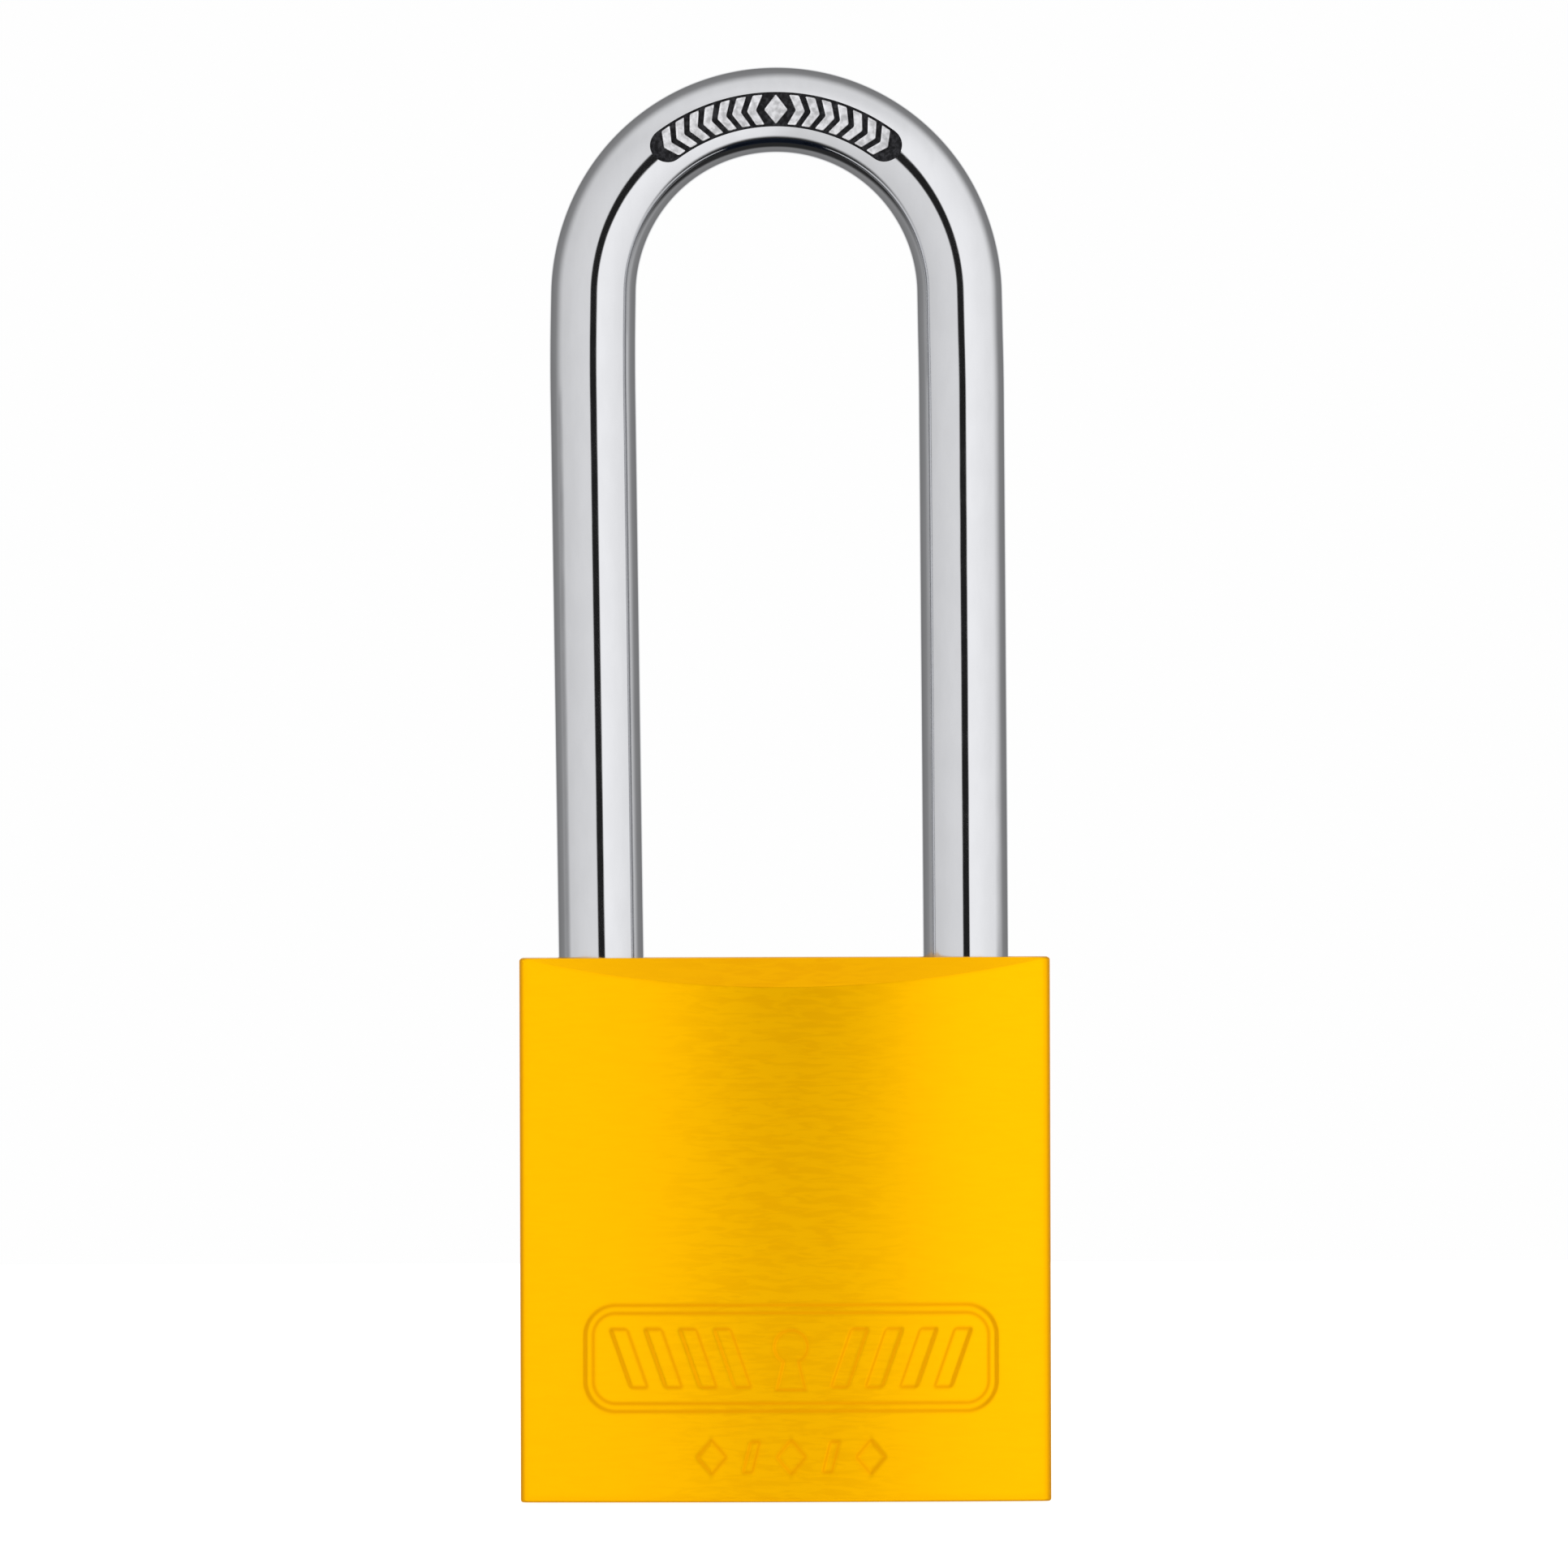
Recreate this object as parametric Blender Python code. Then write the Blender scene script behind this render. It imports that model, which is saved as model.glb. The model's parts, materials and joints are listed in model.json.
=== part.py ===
"""Safety padlock: long steel shackle, bowed aluminium body, six-pin key cylinder, two locking balls.

Frame: origin at the middle of the bottom face, +Z up to the shackle's crown, front face towards -Y.
The shackle's long heel leg is at -X and its short toe leg at +X.
Everything stands locked: the shackle is down, a ball sits in the notch of each leg, and the six
pin stacks stand at the shear line, as the right key holds them.
"""
from math import asin, cos, pi, radians, sin, sqrt, tau

import bmesh
import bpy
from mathutils import Matrix, Vector

MM = 0.001

# Lock body
BODY_WIDTH = 40.0 * MM
BODY_HEIGHT = 41.0 * MM
BODY_EDGE_DEPTH = 16.0 * MM      # front to back along the two side edges
BODY_BULGE = 2.0 * MM            # how far front and back bow out at the middle
BODY_CORNER = 0.5 * MM           # radius of the four upright edges
TOP_CHAMFER = 2.2 * MM           # height of the flat top chamfer at the middle
EDGE_BREAK = 0.3 * MM

# Shackle
ROD_RADIUS = 3.25 * MM
LEG_X = 13.75 * MM               # each leg's axis from the middle
SHACKLE_CLEARANCE = 60.8 * MM    # from the body's top to the inside of the crown
TOE_TIP_Z = 28.9 * MM
HEEL_TIP_Z = 14.0 * MM
NECK_Z = (18.8 * MM, 23.8 * MM)  # the turned-down neck that keeps the heel leg in the body
NECK_RADIUS = 2.5 * MM
TIP_CHAMFER = 0.6 * MM
CROWN_RECESS_WIDTH = 2.6 * MM
CROWN_RECESS_DEPTH = 0.5 * MM
CROWN_RECESS_HALF_ANGLE = radians(36.0)
LEG_BORE_RADIUS = 3.4 * MM
HEEL_BORE_FLOOR = 6.0 * MM
TOE_BORE_FLOOR = 28.5 * MM

# Locking balls and the motion that frees them
LIFT = 13.0 * MM                 # how far the shackle rises
BALL_RADIUS = 3.0 * MM
BALL_X = 9.1 * MM
BALL_Z = 34.0 * MM
TOE_RETREAT = 3.6 * MM           # how far the toe ball moves inward over the whole lift
HEEL_RETREAT = 1.0 * MM
TRACK_RADIUS = 3.1 * MM          # notches and ball channel
QUARTER_TURN = pi / 2

# Actuator cam
CAM_RADIUS = 6.05 * MM
CAM_CLEARANCE = 0.05 * MM
CAM_FACETS = 120
CAM_Z = (28.8 * MM, 38.0 * MM)
CAM_BORE_RADIUS = 6.35 * MM
CAM_BORE_TOP = 38.2 * MM
TANG_HALF = (3.7 * MM, 1.1 * MM)
TANG_LOW = 27.1 * MM

# Key cylinder
HOUSING_RADIUS = 6.5 * MM
HOUSING_Z = (0.4 * MM, 25.5 * MM)
HOUSING_GAP = 0.1 * MM           # between the housing and the pocket it slides into
POCKET_TOP = 25.7 * MM
BIBLE_X = 15.0 * MM
BIBLE_HALF_WIDTH = 3.2 * MM
PLUG_RADIUS = 5.0 * MM
PLUG_GAP = 0.1 * MM
PLUG_FACE_Z = 0.5 * MM
FLANGE_RADIUS = 5.5 * MM
FLANGE_TOP = 1.6 * MM
GROOVE_Z = (25.6 * MM, 26.5 * MM)
GROOVE_RADIUS = 4.05 * MM
PLUG_TAIL_RADIUS = 4.8 * MM
PLUG_TAIL_TOP = 28.6 * MM
TAIL_SLOT_FLOOR = 27.0 * MM
KEYWAY_TOP = 24.0 * MM
CLIP_RADII = (4.15 * MM, 5.9 * MM)
CLIP_Z = (25.7 * MM, 26.4 * MM)
CLIP_MOUTH = radians(70.0)

# Pin stacks, from the bottom face inward
PIN_COUNT = 6
FIRST_PIN_Z = 3.9 * MM
PIN_PITCH = 3.2 * MM
PIN_RADIUS = 1.2 * MM
CHAMBER_RADIUS = 1.3 * MM
CHAMBER_FLOOR_X = -1.8 * MM
KEY_PIN_OUTER_X = 4.85 * MM
KEY_PIN_LENGTHS = (3.8 * MM, 5.0 * MM, 4.2 * MM, 5.6 * MM, 3.6 * MM, 4.6 * MM)
DRIVER_X = (5.1 * MM, 9.1 * MM)
PIN_SPRING_X = (9.2 * MM, 14.0 * MM)
STRIP_SLOT_Z = (2.2 * MM, 21.6 * MM)
STRIP_SLOT_HALF_WIDTH = 2.0 * MM
STRIP_X = (14.1 * MM, 14.9 * MM)

# Fasteners and springs
SCREW_X = 13.0 * MM
SCREW_Z = (22.2 * MM, 28.3 * MM)
SCREW_RADIUS = 1.2 * MM
SCREW_HEAD_RADIUS = 2.4 * MM
SCREW_SEAT_Z = 26.9 * MM
SHACKLE_SPRING_Z = (6.2 * MM, 13.8 * MM)
CHANNEL_PLUG_X = (-19.9 * MM, -17.4 * MM)
CHANNEL_PLUG_RADIUS = 3.05 * MM

FINISHES = {                     # linear colour and roughness of each metal
    "yellow_anodised": ((0.93, 0.50, 0.005), 0.32),
    "chromed": ((0.80, 0.80, 0.82), 0.12),
    "hardened_steel": ((0.52, 0.53, 0.55), 0.25),
    "spring_steel": ((0.42, 0.42, 0.44), 0.35),
    "brass": ((0.80, 0.58, 0.26), 0.30),
    "nickel_plated": ((0.72, 0.69, 0.62), 0.28),
    "zinc_plated": ((0.62, 0.64, 0.67), 0.38),
}

ARCH_Z = BODY_HEIGHT + SHACKLE_CLEARANCE - (LEG_X - ROD_RADIUS)
BEYOND = 2.0 * MM                # how far a cutter runs past an open face


# ---------------------------------------------------------------- building helpers

def clear_scene():
    for item in list(bpy.data.objects):
        bpy.data.objects.remove(item, do_unlink=True)


def metal(name, colour, roughness):
    """A Principled metal of its own for one sub-part."""
    material = bpy.data.materials.new(name)
    material.use_nodes = True
    shader = material.node_tree.nodes["Principled BSDF"]
    shader.inputs["Base Color"].default_value = (*colour, 1.0)
    shader.inputs["Metallic"].default_value = 1.0
    shader.inputs["Roughness"].default_value = roughness
    material.diffuse_color = (*colour, 1.0)
    return material


def new_object(name, bm, finish=None, origin=(0.0, 0.0, 0.0)):
    """Turn a bmesh in world coordinates into a named object with its origin at a point."""
    bmesh.ops.recalc_face_normals(bm, faces=bm.faces)
    bmesh.ops.translate(bm, verts=bm.verts, vec=-Vector(origin))
    mesh = bpy.data.meshes.new(name)
    bm.to_mesh(mesh)
    bm.free()
    item = bpy.data.objects.new(name, mesh)
    item.location = origin
    bpy.context.scene.collection.objects.link(item)
    if finish:
        mesh.materials.append(metal(f"{name}_{finish}", *FINISHES[finish]))
    shade(item)
    return item


def shade(item):
    item.data.shade_smooth()
    item.data.set_sharp_from_angle(angle=radians(32.0))


def combine(item, tool_bm, operation="DIFFERENCE"):
    """Cut a tool shape from an object, or join it on, and keep the result as the object's mesh."""
    tool = new_object("tool", tool_bm)
    modifier = item.modifiers.new("combine", "BOOLEAN")
    modifier.operation = operation
    modifier.object = tool
    bpy.context.view_layer.update()
    evaluated = item.evaluated_get(bpy.context.evaluated_depsgraph_get())
    item.data = bpy.data.meshes.new_from_object(evaluated)
    item.modifiers.clear()
    item.data.name = item.name
    bpy.data.objects.remove(tool, do_unlink=True)
    shade(item)


def skin(bm, rings):
    """Join a row of equal rings of points into one closed solid with flat ends."""
    rows = [[bm.verts.new(point) for point in ring] for ring in rings]
    count = len(rows[0])
    for low, high in zip(rows, rows[1:]):
        for i in range(count):
            j = (i + 1) % count
            bm.faces.new((low[i], low[j], high[j], high[i]))
    bm.faces.new(rows[0][::-1])
    bm.faces.new(rows[-1])
    return bm


def prism(outline, low, high):
    """An outline in the XY plane, extruded from one height to another."""
    return skin(bmesh.new(), [[(x, y, z) for x, y in outline] for z in (low, high)])


def block(low, high):
    x0, y0, z0 = low
    x1, y1, z1 = high
    return prism([(x0, y0), (x1, y0), (x1, y1), (x0, y1)], z0, z1)


def rod(radius, start, end, segments=32):
    """A plain round rod between two points."""
    bm = bmesh.new()
    start, end = Vector(start), Vector(end)
    run = end - start
    place = Matrix.LocRotScale((start + end) / 2, run.to_track_quat("Z", "Y"), None)
    bmesh.ops.create_cone(bm, cap_ends=True, cap_tris=False, segments=segments, radius1=radius,
                          radius2=radius, depth=run.length, matrix=place)
    return bm


def turned(profile, segments):
    """A solid turned about Z from (radius, height) points that run upwards."""
    angles = [tau * i / segments for i in range(segments)]
    return skin(bmesh.new(), [[(r * cos(a), r * sin(a), z) for a in angles] for r, z in profile])


def laid_along_x(bm):
    """Turn a solid built along +Z so that it lies along +X."""
    bmesh.ops.rotate(bm, verts=bm.verts, matrix=Matrix.Rotation(QUARTER_TURN, 3, "Y"))
    return bm


def coil(mean_radius, wire_radius, low, high, turns, steps_per_turn, sides):
    """A compression spring of round wire about Z, between two heights."""
    steps = turns * steps_per_turn
    rise = high - low - 2 * wire_radius
    rings = []
    for step in range(steps + 1):
        angle = tau * step / steps_per_turn
        out = Vector((cos(angle), sin(angle), 0.0))
        centre = out * mean_radius + Vector((0.0, 0.0, low + wire_radius + rise * step / steps))
        ring = []
        for k in range(sides):
            around = tau * k / sides
            ring.append(centre + wire_radius * (out * cos(around) + Vector((0, 0, sin(around)))))
        rings.append(ring)
    return skin(bmesh.new(), rings)


def ball(radius, centre, u_segments=20, v_segments=12):
    bm = bmesh.new()
    bmesh.ops.create_uvsphere(bm, u_segments=u_segments, v_segments=v_segments, radius=radius,
                              matrix=Matrix.Translation(centre))
    return bm


def ball_track(radius, start, end):
    """The space that a ball sweeps along a straight run, as one convex solid."""
    points = []
    for centre in (start, end):
        sphere = ball(radius, centre, 24, 16)
        points += [vertex.co.copy() for vertex in sphere.verts]
        sphere.free()
    bm = bmesh.new()
    for point in points:
        bm.verts.new(point)
    hull = bmesh.ops.convex_hull(bm, input=bm.verts)
    inner = [part for part in hull["geom_interior"] if isinstance(part, bmesh.types.BMVert)]
    bmesh.ops.delete(bm, geom=inner, context="VERTS")
    return bm


def slice_off(bm, point, normal):
    """Cut away everything on the side that the normal points to, and close the cut flat."""
    geometry = list(bm.verts) + list(bm.edges) + list(bm.faces)
    bmesh.ops.bisect_plane(bm, geom=geometry, plane_co=point, plane_no=normal, clear_outer=True)
    bmesh.ops.holes_fill(bm, edges=[edge for edge in bm.edges if edge.is_boundary])


# ---------------------------------------------------------------- body

def bowed_outline():
    """The body seen from above: straight sides, and a front and a back that bow out."""
    half_width = BODY_WIDTH / 2
    radius = (half_width ** 2 + BODY_BULGE ** 2) / (2 * BODY_BULGE)
    corner_x = half_width - BODY_CORNER
    arc_steps = 20

    def front(x):
        return -(BODY_EDGE_DEPTH / 2 + BODY_BULGE - radius + sqrt(radius ** 2 - x ** 2))

    corner_y = front(corner_x) + BODY_CORNER
    outline = [(-corner_x - BODY_CORNER * cos(a), corner_y - BODY_CORNER * sin(a))
               for a in (0.0, radians(30.0), radians(60.0))]
    for step in range(arc_steps + 1):
        x = corner_x * (2 * step / arc_steps - 1)
        outline.append((x, front(x)))
    outline += [(corner_x + BODY_CORNER * cos(a), corner_y - BODY_CORNER * sin(a))
                for a in (radians(60.0), radians(30.0), 0.0)]
    return outline + [(-x, -y) for x, y in outline]


def lock_body():
    bm = prism(bowed_outline(), 0.0, BODY_HEIGHT)
    for side in (-1, 1):
        edge = (0.0, side * BODY_EDGE_DEPTH / 2, BODY_HEIGHT)
        slice_off(bm, edge, Vector((0.0, side * TOP_CHAMFER, BODY_BULGE)).normalized())
        for height, up in ((0.0, -1), (BODY_HEIGHT, 1)):
            edge = (side * (BODY_WIDTH / 2 - EDGE_BREAK), 0.0, height)
            slice_off(bm, edge, Vector((side, 0.0, up)).normalized())
    body = new_object("lock_body", bm, "yellow_anodised")

    top = BODY_HEIGHT + BEYOND
    pocket_radius = HOUSING_RADIUS + HOUSING_GAP
    pocket_half_width = BIBLE_HALF_WIDTH + HOUSING_GAP
    pocket_end = BIBLE_X + 0.3 * MM
    combine(body, rod(LEG_BORE_RADIUS, (-LEG_X, 0, HEEL_BORE_FLOOR), (-LEG_X, 0, top), 40))
    combine(body, rod(LEG_BORE_RADIUS, (LEG_X, 0, TOE_BORE_FLOOR), (LEG_X, 0, top), 40))
    combine(body, rod(pocket_radius, (0, 0, -BEYOND), (0, 0, POCKET_TOP), 48))
    combine(body, block((0, -pocket_half_width, -BEYOND), (pocket_end, pocket_half_width, POCKET_TOP)))
    combine(body, rod(CAM_BORE_RADIUS, (0, 0, POCKET_TOP - BEYOND), (0, 0, CAM_BORE_TOP), 48))
    combine(body, rod(TRACK_RADIUS, (-BODY_WIDTH / 2 - BEYOND, 0, BALL_Z), (LEG_X, 0, BALL_Z), 32))
    combine(body, rod(SCREW_RADIUS + 0.4 * MM, (SCREW_X, 0, POCKET_TOP - BEYOND),
                      (SCREW_X, 0, TOE_BORE_FLOOR + BEYOND), 20))
    combine(body, rod(SCREW_HEAD_RADIUS + 0.2 * MM, (SCREW_X, 0, SCREW_SEAT_Z),
                      (SCREW_X, 0, TOE_BORE_FLOOR + BEYOND), 24))


# ---------------------------------------------------------------- shackle and its spring

def shackle_ring(centre, across, radius, sides=24):
    """One round section of the shackle: the point, the direction in XZ across the rod, the radius."""
    return [centre + radius * (across * cos(tau * i / sides) + Vector((0, sin(tau * i / sides), 0)))
            for i in range(sides)]


def shackle_rod():
    """The bent rod from the heel's tip, up over the crown and down to the toe's tip."""
    right = Vector((1.0, 0.0, 0.0))
    low, high = NECK_Z
    heel = [(HEEL_TIP_Z, ROD_RADIUS - TIP_CHAMFER), (HEEL_TIP_Z + TIP_CHAMFER, ROD_RADIUS),
            (low, ROD_RADIUS), (low, NECK_RADIUS), (high, NECK_RADIUS), (high, ROD_RADIUS)]
    rings = [shackle_ring(Vector((-LEG_X, 0, z)), right, radius) for z, radius in heel]
    arch_steps = 30
    for step in range(arch_steps + 1):
        angle = pi * (1 - step / arch_steps)
        out = Vector((cos(angle), 0.0, sin(angle)))
        rings.append(shackle_ring(Vector((0, 0, ARCH_Z)) + LEG_X * out, -out, ROD_RADIUS))
    toe = [(TOE_TIP_Z + TIP_CHAMFER, ROD_RADIUS), (TOE_TIP_Z, ROD_RADIUS - TIP_CHAMFER)]
    rings += [shackle_ring(Vector((LEG_X, 0, z)), -right, radius) for z, radius in toe]
    return skin(bmesh.new(), rings)


def crown_recess():
    """A racetrack bent along the crown's centreline, cut into the front of the rod."""
    half = CROWN_RECESS_WIDTH / 2
    span = CROWN_RECESS_HALF_ANGLE
    along, around = 16, 6
    outline = []
    for side in (1, -1):
        for step in range(along + 1):
            angle = pi / 2 + side * span * (1 - 2 * step / along)
            outline.append(((LEG_X + side * half) * cos(angle), (LEG_X + side * half) * sin(angle)))
        end = pi / 2 - side * span
        for step in range(1, around):
            turn = end - side * pi * step / around
            x = LEG_X * cos(end) + side * half * cos(turn)
            z = LEG_X * sin(end) + side * half * sin(turn)
            outline.append((x, z))
    floor_y = -(ROD_RADIUS - CROWN_RECESS_DEPTH)
    levels = (-ROD_RADIUS - BEYOND, floor_y)
    return skin(bmesh.new(), [[(x, y, ARCH_Z + z) for x, z in outline] for y in levels])


def shackle():
    item = new_object("shackle", shackle_rod(), "chromed")
    for side, retreat in ((1, TOE_RETREAT), (-1, HEEL_RETREAT)):
        start = Vector((side * BALL_X, 0, BALL_Z))
        end = Vector((side * (BALL_X - retreat), 0, BALL_Z - LIFT))
        combine(item, ball_track(TRACK_RADIUS, start, end))
    combine(item, crown_recess())
    # The origin moves onto the heel leg's axis, where the slide is.
    item.data.transform(Matrix.Translation((LEG_X, 0, 0)))
    item.location = (-LEG_X, 0, 0)


def shackle_spring():
    low, high = SHACKLE_SPRING_Z
    bm = coil(2.5 * MM, 0.45 * MM, low, high, turns=6, steps_per_turn=14, sides=6)
    bmesh.ops.translate(bm, verts=bm.verts, vec=(-LEG_X, 0, 0))
    new_object("shackle_spring", bm, "spring_steel", origin=(-LEG_X, 0, low))


# ---------------------------------------------------------------- balls and cam

def locking_ball(name, side):
    centre = Vector((side * BALL_X, 0, BALL_Z))
    new_object(name, ball(BALL_RADIUS, centre), "hardened_steel", origin=centre)


def cam_radius(angle):
    """The cam's radius at an angle of its own: just clear of both balls at every point of the turn."""
    reach = BALL_RADIUS + CAM_CLEARANCE
    steps = 30
    radius = CAM_RADIUS
    for step in range(steps + 1):
        part = step / steps
        for side, retreat in ((0.0, TOE_RETREAT), (pi, HEEL_RETREAT)):
            centre = BALL_X - retreat * part
            off = abs((angle + QUARTER_TURN * part - side + pi) % tau - pi)
            off = max(0.0, off - tau / CAM_FACETS)
            if off < asin(min(1.0, reach / centre)):
                near = centre * cos(off) - sqrt(reach ** 2 - (centre * sin(off)) ** 2)
                radius = min(radius, near)
    return radius


def actuator_cam():
    outline = []
    for i in range(CAM_FACETS):
        angle = tau * i / CAM_FACETS
        outline.append((cam_radius(angle) * cos(angle), cam_radius(angle) * sin(angle)))
    cam = new_object("actuator_cam", prism(outline, *CAM_Z), "zinc_plated")
    half_length, half_width = TANG_HALF
    tang = block((-half_length, -half_width, TANG_LOW), (half_length, half_width, CAM_Z[0] + 1.0 * MM))
    combine(cam, tang, "UNION")


# ---------------------------------------------------------------- key cylinder

def pin_heights():
    return [FIRST_PIN_Z + PIN_PITCH * i for i in range(PIN_COUNT)]


def cylinder_housing():
    low, high = HOUSING_Z
    housing = new_object("cylinder_housing", rod(HOUSING_RADIUS, (0, 0, low), (0, 0, high), 48), "brass")
    combine(housing, block((0, -BIBLE_HALF_WIDTH, low), (BIBLE_X, BIBLE_HALF_WIDTH, high)), "UNION")
    bore = PLUG_RADIUS + PLUG_GAP
    combine(housing, rod(bore, (0, 0, low - BEYOND), (0, 0, high + BEYOND), 48))
    combine(housing, rod(FLANGE_RADIUS + PLUG_GAP, (0, 0, low - BEYOND), (0, 0, FLANGE_TOP + PLUG_GAP), 48))
    for z in pin_heights():
        combine(housing, rod(CHAMBER_RADIUS, (0, 0, z), (STRIP_X[0], 0, z), 20))
    slot_low, slot_high = STRIP_SLOT_Z
    combine(housing, block((PIN_SPRING_X[1], -STRIP_SLOT_HALF_WIDTH, slot_low),
                           (BIBLE_X + BEYOND, STRIP_SLOT_HALF_WIDTH, slot_high)))
    combine(housing, rod(SCREW_RADIUS + 0.1 * MM, (SCREW_X, 0, slot_high + 0.3 * MM),
                         (SCREW_X, 0, high + BEYOND), 20))


def keyway_outline():
    """The warded slot for the key, open to the plug's -X side."""
    points = [(-6.0, -1.0), (-3.3, -1.0), (-2.9, -0.4), (-1.7, -0.4), (-1.3, -1.0), (2.5, -1.0),
              (2.5, 0.3), (1.1, 0.3), (0.6, 1.0), (-4.0, 1.0), (-4.4, 0.5), (-6.0, 0.5)]
    return [(x * MM, y * MM) for x, y in points]


def key_plug():
    groove_low, groove_high = GROOVE_Z
    profile = [(FLANGE_RADIUS, PLUG_FACE_Z), (FLANGE_RADIUS, FLANGE_TOP), (PLUG_RADIUS, FLANGE_TOP),
               (PLUG_RADIUS, groove_low), (GROOVE_RADIUS, groove_low), (GROOVE_RADIUS, groove_high),
               (PLUG_TAIL_RADIUS, groove_high), (PLUG_TAIL_RADIUS, PLUG_TAIL_TOP)]
    plug = new_object("key_plug", turned(profile, 48), "nickel_plated")
    combine(plug, prism(keyway_outline(), PLUG_FACE_Z - BEYOND, KEYWAY_TOP))
    for z in pin_heights():
        combine(plug, rod(CHAMBER_RADIUS, (CHAMBER_FLOOR_X, 0, z), (PLUG_RADIUS + BEYOND, 0, z), 20))
    slot_half_width = TANG_HALF[1] + 0.1 * MM
    combine(plug, block((-PLUG_TAIL_RADIUS - BEYOND, -slot_half_width, TAIL_SLOT_FLOOR),
                        (PLUG_TAIL_RADIUS + BEYOND, slot_half_width, PLUG_TAIL_TOP + BEYOND)))


def plug_clip():
    """A spring-steel C that snaps into the plug's groove, with its mouth towards -Y."""
    steps = 28
    start = -QUARTER_TURN + CLIP_MOUTH / 2
    span = tau - CLIP_MOUTH
    inner, outer = CLIP_RADII
    angles = [start + span * i / steps for i in range(steps + 1)]
    outline = [(outer * cos(a), outer * sin(a)) for a in angles]
    outline += [(inner * cos(a), inner * sin(a)) for a in reversed(angles)]
    new_object("plug_clip", prism(outline, *CLIP_Z), "spring_steel")


def pin_stacks():
    """Six stacks of key pin, driver pin and spring, each on its chamber's axis."""
    edge = 0.1 * MM
    driver_length = DRIVER_X[1] - DRIVER_X[0]
    for number, (z, length) in enumerate(zip(pin_heights(), KEY_PIN_LENGTHS), 1):
        key_pin = turned([(0.5 * MM, -length), (PIN_RADIUS, -length + 0.6 * MM),
                          (PIN_RADIUS, -edge), (PIN_RADIUS - edge, 0.0)], 16)
        driver = turned([(PIN_RADIUS - edge, 0.0), (PIN_RADIUS, edge), (PIN_RADIUS, driver_length - edge),
                         (PIN_RADIUS - edge, driver_length)], 16)
        spring = coil(0.9 * MM, 0.17 * MM, 0.0, PIN_SPRING_X[1] - PIN_SPRING_X[0],
                      turns=6, steps_per_turn=8, sides=4)
        pieces = ((f"key_pin_{number}", key_pin, "brass", KEY_PIN_OUTER_X),
                  (f"driver_pin_{number}", driver, "hardened_steel", DRIVER_X[0]),
                  (f"pin_spring_{number}", spring, "spring_steel", PIN_SPRING_X[0]))
        for name, bm, finish, x in pieces:
            item = new_object(name, laid_along_x(bm), finish)
            item.location = (x, 0.0, z)


def chamber_strip():
    low, high = STRIP_SLOT_Z
    gap = 0.1 * MM
    half_width = STRIP_SLOT_HALF_WIDTH - gap
    bm = block((STRIP_X[0], -half_width, low + gap), (STRIP_X[1], half_width, high - gap))
    new_object("chamber_strip", bm, "brass")


# ---------------------------------------------------------------- fasteners

def housing_screw():
    """A socket-head screw down through the toe bore's floor into the housing."""
    low, high = SCREW_Z
    head_low = SCREW_SEAT_Z + 0.05 * MM
    profile = [(SCREW_RADIUS - 0.4 * MM, low), (SCREW_RADIUS, low + 0.4 * MM), (SCREW_RADIUS, head_low),
               (SCREW_HEAD_RADIUS, head_low), (SCREW_HEAD_RADIUS, high - 0.2 * MM),
               (SCREW_HEAD_RADIUS - 0.2 * MM, high)]
    bm = turned(profile, 24)
    bmesh.ops.translate(bm, verts=bm.verts, vec=(SCREW_X, 0, 0))
    screw = new_object("housing_screw", bm, "zinc_plated")
    combine(screw, rod(1.15 * MM, (SCREW_X, 0, high - 0.8 * MM), (SCREW_X, 0, high + BEYOND), 6))


def ball_channel_plug():
    outer, inner = CHANNEL_PLUG_X
    bm = rod(CHANNEL_PLUG_RADIUS, (outer, 0, BALL_Z), (inner, 0, BALL_Z))
    new_object("ball_channel_plug", bm, "yellow_anodised")


def build():
    clear_scene()
    lock_body()
    shackle()
    shackle_spring()
    locking_ball("toe_ball", 1)
    locking_ball("heel_ball", -1)
    actuator_cam()
    cylinder_housing()
    key_plug()
    plug_clip()
    pin_stacks()
    chamber_strip()
    housing_screw()
    ball_channel_plug()


build()
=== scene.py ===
"""Looks of the safety padlock: brushed anodised body, chromed shackle, key cylinder, soft studio light.

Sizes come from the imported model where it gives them, and from the named values below where it doesn't.
Geometry helpers work in metres; label and crown patterns are drawn in millimetres and scaled by MM.
"""
import json
from math import cos, pi, radians, sin, sqrt, tau

import bmesh
import bpy
import numpy as np
from mathutils import Matrix, Vector


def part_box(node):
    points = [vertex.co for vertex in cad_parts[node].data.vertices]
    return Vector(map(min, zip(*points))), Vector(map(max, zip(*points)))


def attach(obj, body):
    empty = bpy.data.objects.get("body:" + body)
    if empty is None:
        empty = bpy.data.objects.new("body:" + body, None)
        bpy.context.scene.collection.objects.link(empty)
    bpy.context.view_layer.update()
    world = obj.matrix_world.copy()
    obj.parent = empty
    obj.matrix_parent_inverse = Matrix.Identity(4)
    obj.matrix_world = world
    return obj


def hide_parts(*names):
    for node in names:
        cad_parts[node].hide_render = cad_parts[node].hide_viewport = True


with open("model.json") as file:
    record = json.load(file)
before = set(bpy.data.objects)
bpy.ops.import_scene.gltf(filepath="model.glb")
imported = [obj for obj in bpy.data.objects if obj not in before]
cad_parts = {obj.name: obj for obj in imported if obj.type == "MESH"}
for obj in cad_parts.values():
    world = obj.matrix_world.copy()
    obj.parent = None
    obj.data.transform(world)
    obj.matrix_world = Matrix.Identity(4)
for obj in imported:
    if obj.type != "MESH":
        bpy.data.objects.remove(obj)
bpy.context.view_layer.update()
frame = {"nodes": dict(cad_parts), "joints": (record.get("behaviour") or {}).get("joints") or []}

MM = 0.001
NODES = frame["nodes"]
RANGES = {joint["name"]: joint.get("range_m") for joint in frame["joints"]}

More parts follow.
